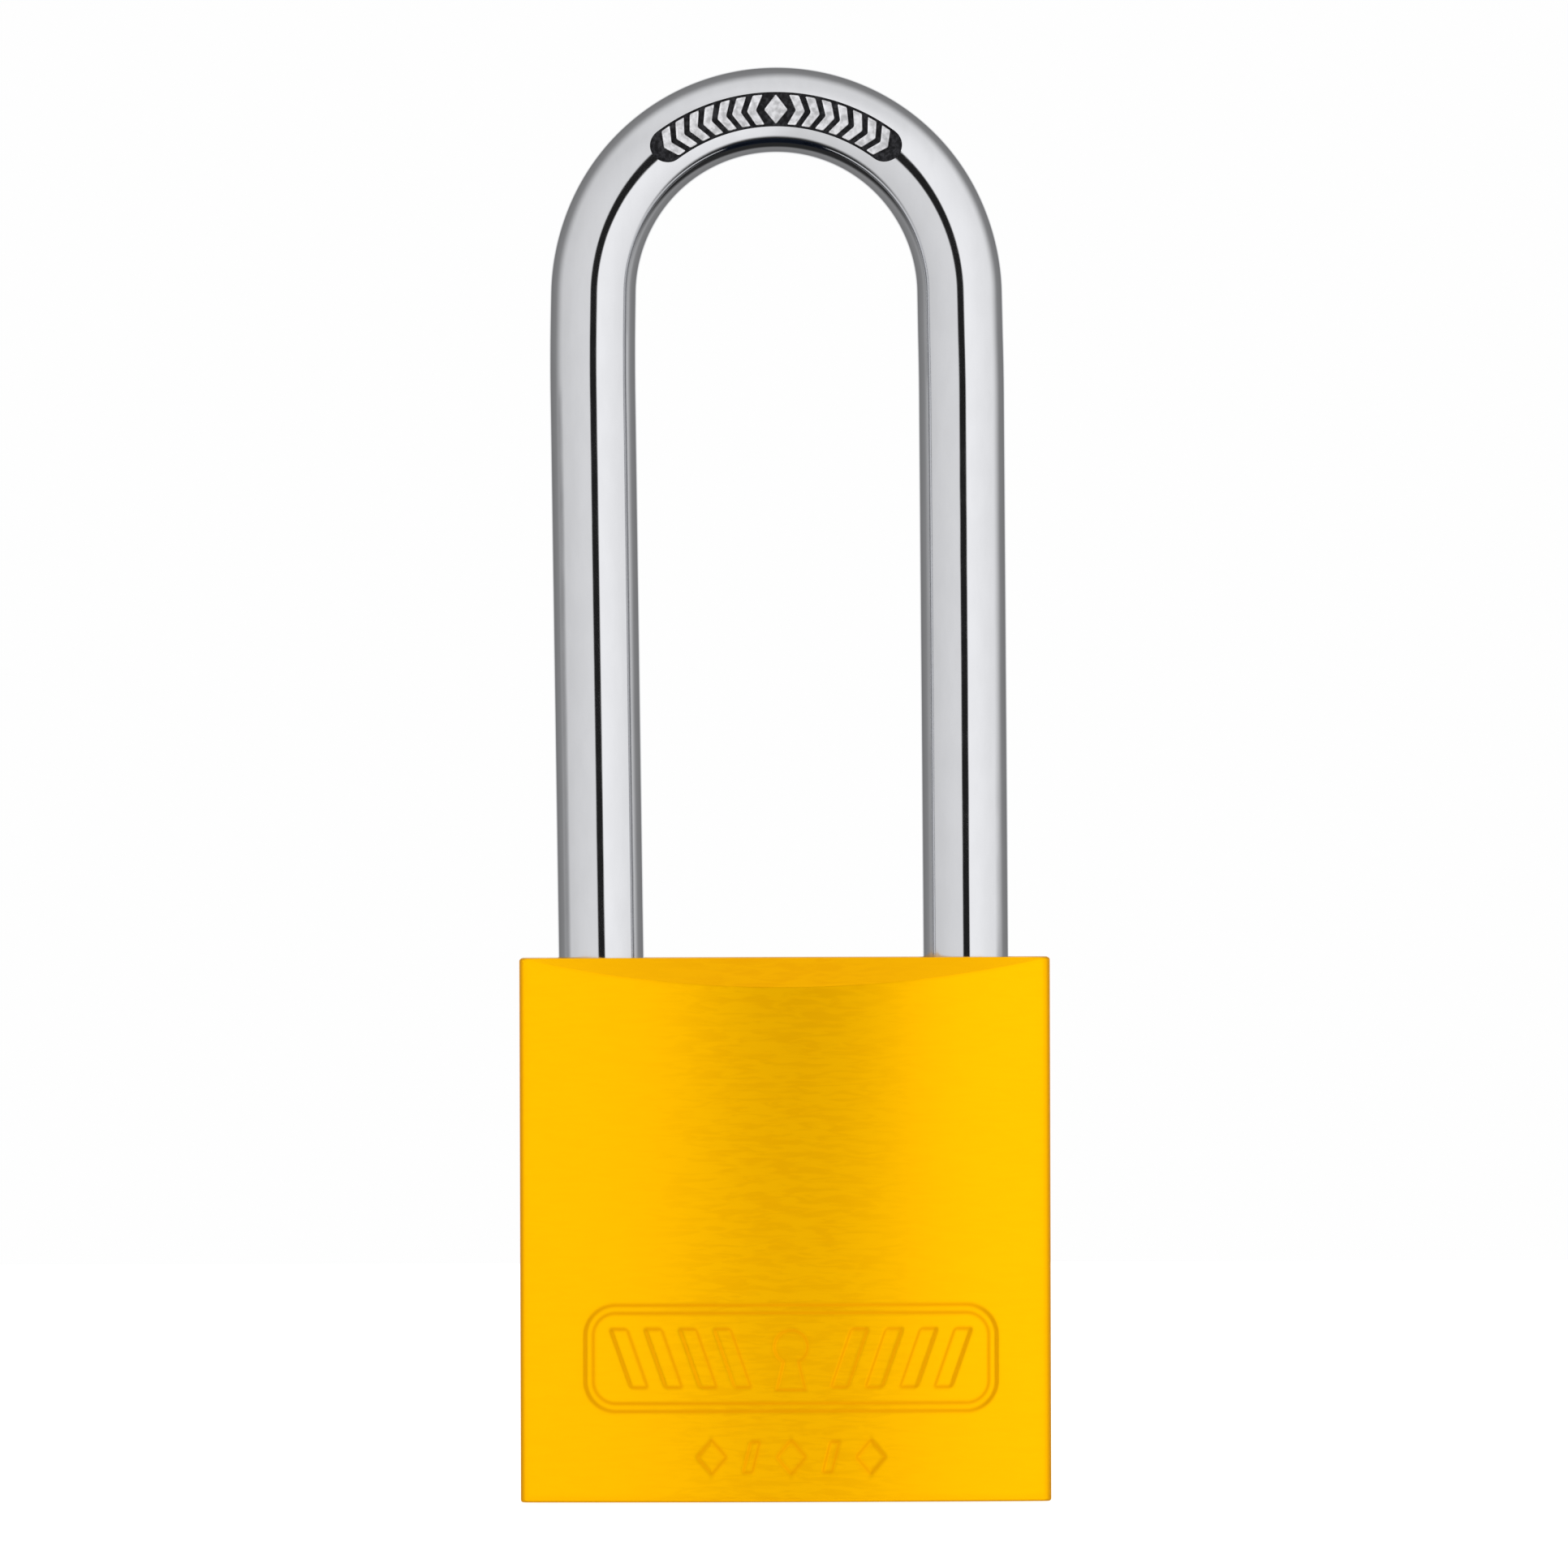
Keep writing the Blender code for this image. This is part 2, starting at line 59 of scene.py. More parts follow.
# Body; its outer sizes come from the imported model
BODY_LOW, BODY_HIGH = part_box("lock_body")
HALF_WIDTH = BODY_HIGH.x
HALF_DEPTH = BODY_HIGH.y
HEIGHT = BODY_HIGH.z
BULGE = 2.0 * MM                         # how far the bowed faces stand out in the middle
TOP_CHAMFER = 2.2 * MM                   # height of the slope that cuts the bow off at the top
EDGE_HALF_DEPTH = HALF_DEPTH - BULGE
CORNER = 0.8 * MM
EDGE_ROUND = 0.2 * MM

# Shackle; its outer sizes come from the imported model
SHACKLE_LOW, SHACKLE_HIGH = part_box("shackle")
ROD = SHACKLE_HIGH.y                     # radius of the round bar
LEG_X = SHACKLE_HIGH.x - ROD
ARCH_Z = SHACKLE_HIGH.z - LEG_X - ROD
HEEL_TIP_Z = SHACKLE_LOW.z
TOE_TIP_Z = 28.9 * MM
NECK_Z = (18.8 * MM, 23.8 * MM)
NECK_RADIUS = 2.5 * MM
TIP_CHAMFER = 0.6 * MM
SOFT_EDGE = 0.12 * MM
RECESS_HALF_WIDTH = 1.3 * MM
RECESS_DEPTH = 0.5 * MM
RECESS_HALF_ANGLE = radians(36.6)
RECESS_FLOOR_Y = RECESS_DEPTH - ROD

# The shackle stands a little askew in its play, and its legs spread slightly below the arch
LEAN = 0.0082
LEAN_LOW_Z = 31.7 * MM
LEAN_HIGH_Z = 88.0 * MM
SPREAD = 0.20 * MM
SPREAD_LOW_Z = 34.0 * MM
SPREAD_HIGH_Z = 84.0 * MM
SPREAD_END_Z = 98.0 * MM

# Openings in the body
LEG_BORE = 3.5 * MM
HEEL_BORE_FLOOR = 6.0 * MM
TOE_BORE_FLOOR = 28.5 * MM
BALL_TRACK = 3.1 * MM
BALL_LOW, BALL_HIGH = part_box("toe_ball")
BALL_CENTRE = (BALL_LOW + BALL_HIGH) / 2
LIFT = RANGES["shackle_lift"][1]
TOE_RETREAT = RANGES["toe_ball_slide"][1]
HEEL_RETREAT = RANGES["heel_ball_slide"][1]
POCKET_RADIUS = 6.6 * MM
POCKET_HALF_WIDTH = 3.3 * MM
POCKET_END_X = 15.3 * MM
POCKET_TOP = 25.7 * MM
CAM_BORE = 6.35 * MM
CAM_BORE_TOP = 38.2 * MM
SCREW_X = 13.0 * MM
SCREW_BORE = 1.6 * MM
SCREW_HEAD_BORE = 2.6 * MM
SCREW_SEAT_Z = 26.9 * MM
BEYOND = 2.0 * MM                        # how far a cutting tool reaches past what it cuts

# How finely curved shapes are divided
ROUND_SIDES = 96
SMALL_SIDES = 48
BALL_SIDES = (64, 32)
LEG_RUNGS = 56
ARCH_STEPS = 128

# Camera
FIELD_WIDTH = 118.5 * MM
AIM_Z = 54.1 * MM
CAMERA_DISTANCE = 3.0
CAMERA_REACH = 20.0
ROLL = radians(-0.17)
SENSOR = 36.0

# Studio: strengths of light, and angles from the direction of the camera
PANELS = (0.95, 1.21)                    # left and right of the camera
PANEL_TURN = 0.12                        # half the width over which one panel passes into the other
PANEL_FADE = (radians(10.0), radians(110.0), 1.04, 0.88)    # first and last angle, and the factors there
PANEL_EDGES = (radians(103.0), radians(106.0))              # where the left and the right panel end
PANEL_EDGE_SOFT = radians(17.0)
CEILING = (0.60, 0.90, 1.08)             # sine of the height where it starts and is full, and its light
REAR = (radians(105.0), radians(150.0), 0.335, 0.25)        # first and last angle, and the light there
REAR_WINDOW = (radians(150.0), radians(160.0), 0.95)        # where it starts and is full, and its light
GAP_SIDE = radians(1.7)                  # the dark gap's middle, to the right of the camera
GAP_HALF_WIDTH = sin(radians(8.6))
GAP_HALF_HEIGHT = sin(radians(18.0))
GAP_LIGHT = 0.02
DARK_GROUND = (0.13, 0.95, 0.36, 0.03)   # under the object: shift back, half width, half depth, light

# Soft level lights that mirrors don't see: heading from +Y towards +X, and strength
FRONT_FILL = (radians(60.0), 2.8)
REAR_FILL = (radians(235.0), 3.4)
FILL_ANGLE = radians(30.0)
FLOOR_GAP = 0.2 * MM
FLOOR_HALF_SIZE = 1.5


# ---------------------------------------------------------------- meshes

def make_object(name, bm):
    mesh = bpy.data.meshes.new(name)
    bm.to_mesh(mesh)
    bm.free()
    item = bpy.data.objects.new(name, mesh)
    bpy.context.scene.collection.objects.link(item)
    return item


def shade(item, angle):
    """Smooth shading, with sharp edges where faces meet at more than an angle in degrees."""
    item.data.shade_smooth()
    item.data.set_sharp_from_angle(angle=radians(angle))


def skin(rings):
    """Join a row of equal rings of points into one closed solid with flat ends."""
    bm = bmesh.new()
    rows = [[bm.verts.new(point) for point in ring] for ring in rings]
    count = len(rows[0])
    for low, high in zip(rows, rows[1:]):
        for i in range(count):
            j = (i + 1) % count
            bm.faces.new((low[i], low[j], high[j], high[i]))
    bm.faces.new(rows[0][::-1])
    bm.faces.new(rows[-1])
    bmesh.ops.recalc_face_normals(bm, faces=bm.faces)
    return bm


def combine(item, tool_bm, operation="DIFFERENCE"):
    """Apply one exact Boolean with a tool shape, then drop the tool."""
    tool = make_object("tool", tool_bm)
    modifier = item.modifiers.new("combine", "BOOLEAN")
    modifier.operation = operation
    modifier.object = tool
    bpy.context.view_layer.update()
    evaluated = item.evaluated_get(bpy.context.evaluated_depsgraph_get())
    mesh = bpy.data.meshes.new_from_object(evaluated)
    item.modifiers.clear()
    item.data = mesh
    bpy.data.objects.remove(tool, do_unlink=True)


def weld(mesh):
    """Take out the zero-area faces that cuts leave."""
    distance = 0.2e-3 * MM
    bm = bmesh.new()
    bm.from_mesh(mesh)
    bmesh.ops.dissolve_degenerate(bm, edges=bm.edges, dist=distance)
    bm.to_mesh(mesh)
    bm.free()


def rod(radius, start, end, segments=ROUND_SIDES):
    bm = bmesh.new()
    start, end = Vector(start), Vector(end)
    run = end - start
    place = Matrix.LocRotScale((start + end) / 2, run.to_track_quat("Z", "Y"), None)
    bmesh.ops.create_cone(bm, cap_ends=True, cap_tris=False, segments=segments, radius1=radius,
                          radius2=radius, depth=run.length, matrix=place)
    return bm


def block(low, high):
    x0, y0, z0 = low
    x1, y1, z1 = high
    return skin([[(x0, y0, z), (x1, y0, z), (x1, y1, z), (x0, y1, z)] for z in (z0, z1)])


def ball_track(start, end):
    """The space that a ball sweeps along a straight run, as one convex solid."""
    bm = bmesh.new()
    round_it, up_it = BALL_SIDES
    for centre in (start, end):
        sphere = bmesh.new()
        bmesh.ops.create_uvsphere(sphere, u_segments=round_it, v_segments=up_it, radius=BALL_TRACK,
                                  matrix=Matrix.Translation(centre))
        for vertex in sphere.verts:
            bm.verts.new(vertex.co)
        sphere.free()
    hull = bmesh.ops.convex_hull(bm, input=bm.verts)
    inner = [part for part in hull["geom_interior"] if isinstance(part, bmesh.types.BMVert)]
    bmesh.ops.delete(bm, geom=inner, context="VERTS")
    return bm


def smoothstep(low, high, value):
    t = np.clip((value - low) / (high - low), 0.0, 1.0)
    return t * t * (3 - 2 * t)


# ---------------------------------------------------------------- stamped label

# In millimetres on the front face, up to the row of marks
LABEL_CENTRE = (0.4, 10.85)
LABEL_HALF = (15.2, 3.7)
LABEL_CORNER = 2.0
LABEL_LINE = 0.30                        # half the width of the frame's line
BAR_FIRST = 4.4                          # the innermost bar's middle, from the label's centre
BAR_PITCH = 2.6
BAR_HALF = (0.62, 2.2)
BAR_CORNER = 0.2
BAR_SLANT = 0.35
BARS_A_SIDE = 4
KEYHOLE_BOW = (0.85, 1.25)               # height of its middle, and radius
KEYHOLE_STEM = (-0.9, 1.5)               # height of its middle, and half height
KEYHOLE_TAPER = (0.5, 0.24)              # half width at the label's centre, and its loss per mm up
MARK_Z = 3.4
MARK_PITCH = 3.0
MARK_COUNT = 5
TICK_HALF = (0.34, 1.15)
TICK_CORNER = 0.15
TICK_SLANT = 0.25
DIAMOND_HALF = 0.78
DIAMOND_CORNER = 0.12
DIAMOND_SQUEEZE = 0.85                   # width over height

STAMP_DEPTH = 0.07 * MM
STAMP_EDGE = 0.16                        # half the width of a stamped edge, in millimetres


def rounded_box(x, z, half_x, half_z, corner):
    """Distance to a box with round corners, centred on the origin; negative inside."""
    qx = np.abs(x) - (half_x - corner)
    qz = np.abs(z) - (half_z - corner)
    outside = np.hypot(np.maximum(qx, 0), np.maximum(qz, 0))
    return outside + np.minimum(np.maximum(qx, qz), 0) - corner


def keyhole(x, z):
    bow_z, bow_radius = KEYHOLE_BOW
    stem_z, stem_half = KEYHOLE_STEM
    half_width, taper = KEYHOLE_TAPER
    bow = np.hypot(x, z - bow_z) - bow_radius
    stem = np.maximum(np.abs(x) - (half_width - taper * z), np.abs(z - stem_z) - stem_half)
    return np.minimum(bow, stem)


def mark(number, across, up):
    """Diamonds and slanted ticks by turns."""
    if number % 2:
        return rounded_box(across - TICK_SLANT * up, up, *TICK_HALF, TICK_CORNER)
    squeezed = DIAMOND_SQUEEZE * up
    turned = (across + squeezed) * sqrt(0.5), (across - squeezed) * sqrt(0.5)
    return rounded_box(*turned, DIAMOND_HALF, DIAMOND_HALF, DIAMOND_CORNER)


def label_distance(x, z):
    """Distance in mm to the stamped pattern: a frame, slanted bars, a keyhole and a row of small marks."""
    u, v = x - LABEL_CENTRE[0], z - LABEL_CENTRE[1]
    border = rounded_box(u, v, *LABEL_HALF, LABEL_CORNER)
    found = np.abs(border) - LABEL_LINE
    found = np.minimum(found, keyhole(u, v))
    for side in (-1, 1):
        for number in range(BARS_A_SIDE):
            middle = side * (BAR_FIRST + BAR_PITCH * number)
            bar = rounded_box(u - middle - side * BAR_SLANT * v, v, *BAR_HALF, BAR_CORNER)
            found = np.minimum(found, bar)
    for number in range(MARK_COUNT):
        across = u - MARK_PITCH * (number - MARK_COUNT // 2)
        found = np.minimum(found, mark(number, across, z - MARK_Z))
    return found


# ---------------------------------------------------------------- body

# Steps of the body's mesh: fine where the front is stamped
FINE_STEP = 0.1 * MM
EDGE_STEP = 0.4 * MM
SIDE_STEP = 0.5 * MM
BACK_STEP = 1.0 * MM
PLAIN_STEP = 1.2 * MM
FINE_HALF_WIDTH = 16.4 * MM
FINE_MARKS_Z = (2.0 * MM, 4.8 * MM)
FINE_LABEL_Z = (6.0 * MM, 15.4 * MM)
CREASE_START_Z = 38.2 * MM               # above it the rows bend to follow the chamfer's edge
CREASE_CLEARANCE = 0.05 * MM
ROWS_TO_CREASE = 6
ROWS_PAST_CREASE = 8
EDGE_POINTS = 6
CORNER_POINTS = 7
SIDE_POINTS = 17


def front_depth(x):
    """How far the bowed face stands out at a width."""
    radius = (HALF_WIDTH ** 2 + BULGE ** 2) / (2 * BULGE)
    return HALF_DEPTH - radius + np.sqrt(radius ** 2 - x ** 2)


def slope_depth(z):
    """How far the chamfer's slope stands out at a height."""
    return EDGE_HALF_DEPTH + (HEIGHT - z) * BULGE / TOP_CHAMFER


def spaced(stretches):
    """Levels over stretches of (start, end, step), sharing their ends."""
    levels = []
    for start, end, step in stretches:
        count = max(1, round((end - start) / step))
        levels += list(np.linspace(start, end, count + 1))[:-1]
    return np.array(levels + [stretches[-1][1]])


def body_outline():
    """Points round the body seen from above, and their outward directions; the front comes first."""
    corner_x = HALF_WIDTH - CORNER
    corner_y = front_depth(corner_x) - CORNER
    fine = FINE_HALF_WIDTH
    front = spaced([(-corner_x, -fine, SIDE_STEP), (-fine, fine, FINE_STEP), (fine, corner_x, SIDE_STEP)])
    back = spaced([(-corner_x, corner_x, BACK_STEP)])[::-1]
    turn = np.linspace(0, pi / 2, CORNER_POINTS)[1:-1]
    heights = corner_y * np.linspace(-1, 1, SIDE_POINTS)

    def corner(side, face, angles):
        return [(side * (corner_x + CORNER * sin(angle)), face * (corner_y + CORNER * cos(angle)))
                for angle in angles]

    outline = list(zip(front, -front_depth(front)))
    outline += corner(1, -1, turn) + [(HALF_WIDTH, y) for y in heights] + corner(1, 1, turn[::-1])
    outline += list(zip(back, front_depth(back)))
    outline += corner(-1, 1, turn) + [(-HALF_WIDTH, y) for y in heights[::-1]] + corner(-1, -1, turn[::-1])
    points = np.array(outline)
    along = np.roll(points, -1, axis=0) - np.roll(points, 1, axis=0)
    outward = np.column_stack([along[:, 1], -along[:, 0]])
    outward /= np.linalg.norm(outward, axis=1)[:, None]
    return points, outward, len(front)


def edge_inset(z):
    """How far the section draws in near the top and bottom faces, so that their edges are round."""
    from_end = np.minimum(z, HEIGHT - z)
    short = np.maximum(EDGE_ROUND - from_end, 0.0)
    return EDGE_ROUND - np.sqrt(EDGE_ROUND ** 2 - short ** 2)


def body_rows(depth):
    """Heights of each row of points, from their depths; near the top they follow the chamfer's edge."""
    start, end = CREASE_START_Z, HEIGHT - EDGE_ROUND
    crease = np.minimum(HEIGHT - (depth - EDGE_HALF_DEPTH) * TOP_CHAMFER / BULGE, end - CREASE_CLEARANCE)
    round_steps = [EDGE_ROUND * (1 - cos(a)) for a in np.linspace(0, pi / 2, EDGE_POINTS)]
    marks_low, marks_high = FINE_MARKS_Z
    label_low, label_high = FINE_LABEL_Z
    middle = spaced([(EDGE_ROUND, marks_low, EDGE_STEP), (marks_low, marks_high, FINE_STEP),
                     (marks_high, label_low, EDGE_STEP), (label_low, label_high, FINE_STEP),
                     (label_high, start, PLAIN_STEP)])
    rows = [np.full(len(depth), z) for z in round_steps[:-1] + list(middle[:-1])]
    rows += [start + (crease - start) * step / ROWS_TO_CREASE for step in range(ROWS_TO_CREASE)]
    rows += [crease + (end - crease) * step / ROWS_PAST_CREASE for step in range(ROWS_PAST_CREASE)]
    rows += [np.full(len(depth), HEIGHT - step) for step in round_steps[::-1]]
    return rows


def body_skin():
    """The outside of the body: fine where it is stamped, and with one row along the chamfer's edge."""
    points, outward, front_count = body_outline()
    rings = []
    for z in body_rows(np.abs(points[:, 1])):
        ring = points - outward * edge_inset(z)[:, None]
        ring[:, 1] = np.sign(ring[:, 1]) * np.minimum(np.abs(ring[:, 1]), slope_depth(z))
        distance = label_distance(ring[:front_count, 0] / MM, z[:front_count] / MM)
        ring[:front_count, 1] += STAMP_DEPTH * (1 - smoothstep(-STAMP_EDGE, STAMP_EDGE, distance))
        rings.append([(x, y, height) for (x, y), height in zip(ring, z)])
    return skin(rings)


def body_cavities():
    """Everything drilled and milled out of the body, as tools."""
    top = HEIGHT + BEYOND
    ball_z = BALL_CENTRE.z
    screw_top = TOE_BORE_FLOOR + BEYOND
    yield rod(LEG_BORE, (-LEG_X, 0, HEEL_BORE_FLOOR), (-LEG_X, 0, top))
    yield rod(LEG_BORE, (LEG_X, 0, TOE_BORE_FLOOR), (LEG_X, 0, top))
    yield rod(POCKET_RADIUS, (0, 0, -BEYOND), (0, 0, POCKET_TOP))
    yield block((0, -POCKET_HALF_WIDTH, -BEYOND), (POCKET_END_X, POCKET_HALF_WIDTH, POCKET_TOP))
    yield rod(CAM_BORE, (0, 0, POCKET_TOP - BEYOND), (0, 0, CAM_BORE_TOP))
    yield rod(BALL_TRACK, (-HALF_WIDTH - BEYOND, 0, ball_z), (LEG_X, 0, ball_z))
    yield rod(SCREW_BORE, (SCREW_X, 0, POCKET_TOP - BEYOND), (SCREW_X, 0, screw_top), SMALL_SIDES)
    yield rod(SCREW_HEAD_BORE, (SCREW_X, 0, SCREW_SEAT_Z), (SCREW_X, 0, screw_top), SMALL_SIDES)


def paint_shade(mesh):
    """Write on each vertex how much painted shade the body gets: in the stamped grooves, on the top
    chamfer, along the outer edges and along the foot.
    """
    slope_shade = 0.42
    slope_tolerance = 0.01 * MM
    rim_shade, rim_reach = 0.85, 0.38 * MM
    foot_shade, foot_reach = 0.5, 0.22 * MM
    places = np.empty(len(mesh.vertices) * 3)
    mesh.vertices.foreach_get("co", places)
    x, y, z = places.reshape(-1, 3).T
    distance = label_distance(x / MM, z / MM)
    # Painted shade in the stamped grooves of the front face.
    shadow = np.exp(-(distance / STAMP_EDGE) ** 2) * (y < -EDGE_HALF_DEPTH)
    # Painted shade on the top chamfer, deepest in the middle of its width.
    on_slope = (np.abs(y) > slope_depth(z) - slope_tolerance) & (z > HEIGHT - 1.1 * TOP_CHAMFER)
    shadow = np.where(on_slope, slope_shade * (1 - (x / HALF_WIDTH) ** 2), shadow)
    # Painted shade and reflection: a dark line along the outer vertical edges of the front and back faces.
    on_face = np.abs(y) > EDGE_HALF_DEPTH - CORNER
    rim = rim_shade * np.exp(-((HALF_WIDTH - np.abs(x)) / rim_reach) ** 2) * on_face
    # Painted shade along the foot of the body.
    foot = foot_shade * np.exp(-(z / foot_reach) ** 2)
    shadow = np.maximum(shadow, np.maximum(rim, foot))
    mesh.attributes.new("painted_shade", "FLOAT", "POINT").data.foreach_set("value", shadow)


def make_body(material):
    tools = body_cavities()
    cavities = make_object("cavities", next(tools))
    for tool in tools:
        combine(cavities, tool, "UNION")
    body = make_object("body_block", body_skin())
    shape = bmesh.new()
    shape.from_mesh(cavities.data)
    combine(body, shape)
    bpy.data.objects.remove(cavities, do_unlink=True)
    weld(body.data)
    body.data.materials.append(material)
    paint_shade(body.data)
    shade(body, 38.0)
    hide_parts("lock_body")
    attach(body, "case")


# ---------------------------------------------------------------- shackle

# The crown's pattern, in millimetres along the crown and across it
RELIEF_HALF = 1.13
LOZENGE_HALF = 0.9
CHEVRON_BACK, CHEVRON_SHOULDER, CHEVRON_TIP = -0.58, 0.12, 0.70
CHEVRON_FIRST = 1.5
CHEVRON_PITCH = 1.15
CHEVRONS_A_SIDE = 7

RELIEF_ROOT = 0.05 * MM                  # how deep the pattern is let into the recess's floor
RELIEF_BELOW = 0.14 * MM                 # how far its tops stay under the rod's front
RELIEF_EDGE = 0.11 * MM
RECESS_STEPS = (60, 20)                  # along each side, and round each end


def shackle_ring(centre, across, radius):
    steps = [tau * i / ROUND_SIDES for i in range(ROUND_SIDES)]
    return [centre + radius * (across * cos(angle) + Vector((0, sin(angle), 0))) for angle in steps]


def leg_rings(x, across, profile):
    """Rings of one leg, from pairs of height and radius."""
    return [shackle_ring(Vector((x, 0, z)), across, radius) for z, radius in profile]


def plain_leg(start, end):
    """Pairs of height and radius between two heights, without the ends."""
    return [(start + (end - start) * i / LEG_RUNGS, ROD) for i in range(1, LEG_RUNGS)]


def shackle_skin():
    """The bent rod from the heel's tip, up over the crown and down to the toe's tip."""
    right = Vector((1.0, 0.0, 0.0))
    low, high = NECK_Z
    soft = SOFT_EDGE
    tip = ROD - TIP_CHAMFER
    heel = [(HEEL_TIP_Z, tip - soft), (HEEL_TIP_Z + soft, tip + soft), (HEEL_TIP_Z + TIP_CHAMFER, ROD),
            (low - soft, ROD), (low, ROD - soft), (low, NECK_RADIUS),
            (high, NECK_RADIUS), (high, ROD - soft), (high + soft, ROD)]
    toe_start = TOE_TIP_Z + TIP_CHAMFER
    toe = [(toe_start, ROD), (TOE_TIP_Z + soft, tip + soft), (TOE_TIP_Z, tip - soft)]
    rings = leg_rings(-LEG_X, right, heel + plain_leg(high + soft, ARCH_Z))
    for step in range(ARCH_STEPS + 1):
        angle = pi * (1 - step / ARCH_STEPS)
        out = Vector((cos(angle), 0.0, sin(angle)))
        rings.append(shackle_ring(Vector((0, 0, ARCH_Z)) + LEG_X * out, -out, ROD))
    rings += leg_rings(LEG_X, -right, plain_leg(ARCH_Z, toe_start) + toe)
    return skin(rings)


def sway(x, z):
    """Where a point of the straight shackle stands across the front, with its lean and spread."""
    lean = LEAN * (min(z, LEAN_HIGH_Z) - LEAN_LOW_Z)
    rise = min(max((z - SPREAD_LOW_Z) / (SPREAD_HIGH_Z - SPREAD_LOW_Z), 0.0), 1.0)
    fall = min(max((SPREAD_END_Z - z) / (SPREAD_END_Z - SPREAD_HIGH_Z), 0.0), 1.0)
    fall = fall * fall * (3 - 2 * fall)
    return x - lean + SPREAD * rise * fall * max(-1.0, min(1.0, x / LEG_X))


def sway_mesh(mesh):
    for vertex in mesh.vertices:
        vertex.co.x = sway(vertex.co.x, vertex.co.z)


def on_crown(u, v):
    """A place on the crown's middle arc: u along it from the top, v outward, both in metres."""
    angle = pi / 2 - u / LEG_X
    return (LEG_X + v) * cos(angle), ARCH_Z + (LEG_X + v) * sin(angle)


def crown_recess():
    """A racetrack bent along the crown's centreline, cut into the front of the rod."""
    half_length = RECESS_HALF_ANGLE * LEG_X
    along, around = RECESS_STEPS
    outline = []
    for side in (1, -1):
        for step in range(along):
            u = side * half_length * (2 * step / along - 1)
            outline.append(on_crown(u, side * RECESS_HALF_WIDTH))
        for step in range(around):
            angle = side * (pi / 2 - pi * step / around)
            u = side * half_length + RECESS_HALF_WIDTH * cos(angle) * side
            outline.append(on_crown(u, RECESS_HALF_WIDTH * sin(angle)))
    return skin([[(x, y, z) for x, z in outline] for y in (-ROD - BEYOND, RECESS_FLOOR_Y)])


def chevron(middle, facing):
    """A chevron's outline in millimetres along the crown, pointing away from the top."""
    back, shoulder, tip, half = CHEVRON_BACK, CHEVRON_SHOULDER, CHEVRON_TIP, RELIEF_HALF
    shape = [(back, -half), (shoulder, -half), (tip, 0.0), (shoulder, half), (back, half), (0.0, 0.0)]
    points = [(middle + facing * u, v) for u, v in shape]
    return points if facing > 0 else points[::-1]


def make_crown_relief(material):
    """Raised chevrons either side of a lozenge, standing on the recess's floor."""
    shapes = [[(-LOZENGE_HALF, 0.0), (0.0, -RELIEF_HALF), (LOZENGE_HALF, 0.0), (0.0, RELIEF_HALF)]]
    for number in range(CHEVRONS_A_SIDE):
        for facing in (-1, 1):
            shapes.append(chevron(facing * (CHEVRON_FIRST + CHEVRON_PITCH * number), facing))
    whole = bmesh.new()
    for outline in shapes:
        places = [on_crown(u * MM, v * MM) for u, v in outline]
        levels = (RECESS_FLOOR_Y + RELIEF_ROOT, -ROD + RELIEF_BELOW)
        part = skin([[(x, y, z) for x, z in places] for y in levels])
        mesh = bpy.data.meshes.new("part")
        part.to_mesh(mesh)
        part.free()
        whole.from_mesh(mesh)
        bpy.data.meshes.remove(mesh)
    relief = make_object("crown_relief", whole)
    bevel = relief.modifiers.new("soft edges", "BEVEL")
    bevel.width = RELIEF_EDGE
    bevel.segments = 3
    bevel.limit_method = "ANGLE"
    bevel.angle_limit = radians(30.0)
    sway_mesh(relief.data)
    relief.data.materials.append(material)
    shade(relief, 60.0)
    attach(relief, "shackle")


def is_recess_floor(face):
    level = abs(face.center.y - RECESS_FLOOR_Y) < 0.01 * MM
    return level and face.normal.y < -0.9999 and face.center.z > ARCH_Z


def make_shackle(chrome, etched):
    shackle = make_object("shackle_bow", shackle_skin())
    for side, retreat in ((1, TOE_RETREAT), (-1, HEEL_RETREAT)):
        start = Vector((side * BALL_CENTRE.x, 0, BALL_CENTRE.z))
        end = Vector((side * (BALL_CENTRE.x - retreat), 0, BALL_CENTRE.z - LIFT))
        combine(shackle, ball_track(start, end))
    combine(shackle, crown_recess())
    mesh = shackle.data
    weld(mesh)
    mesh.materials.append(chrome)
    mesh.materials.append(etched)
    for face in mesh.polygons:
        face.material_index = 1 if is_recess_floor(face) else 0
    sway_mesh(mesh)
    shade(shackle, 30.0)
    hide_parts("shackle")
    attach(shackle, "shackle")


# ---------------------------------------------------------------- materials

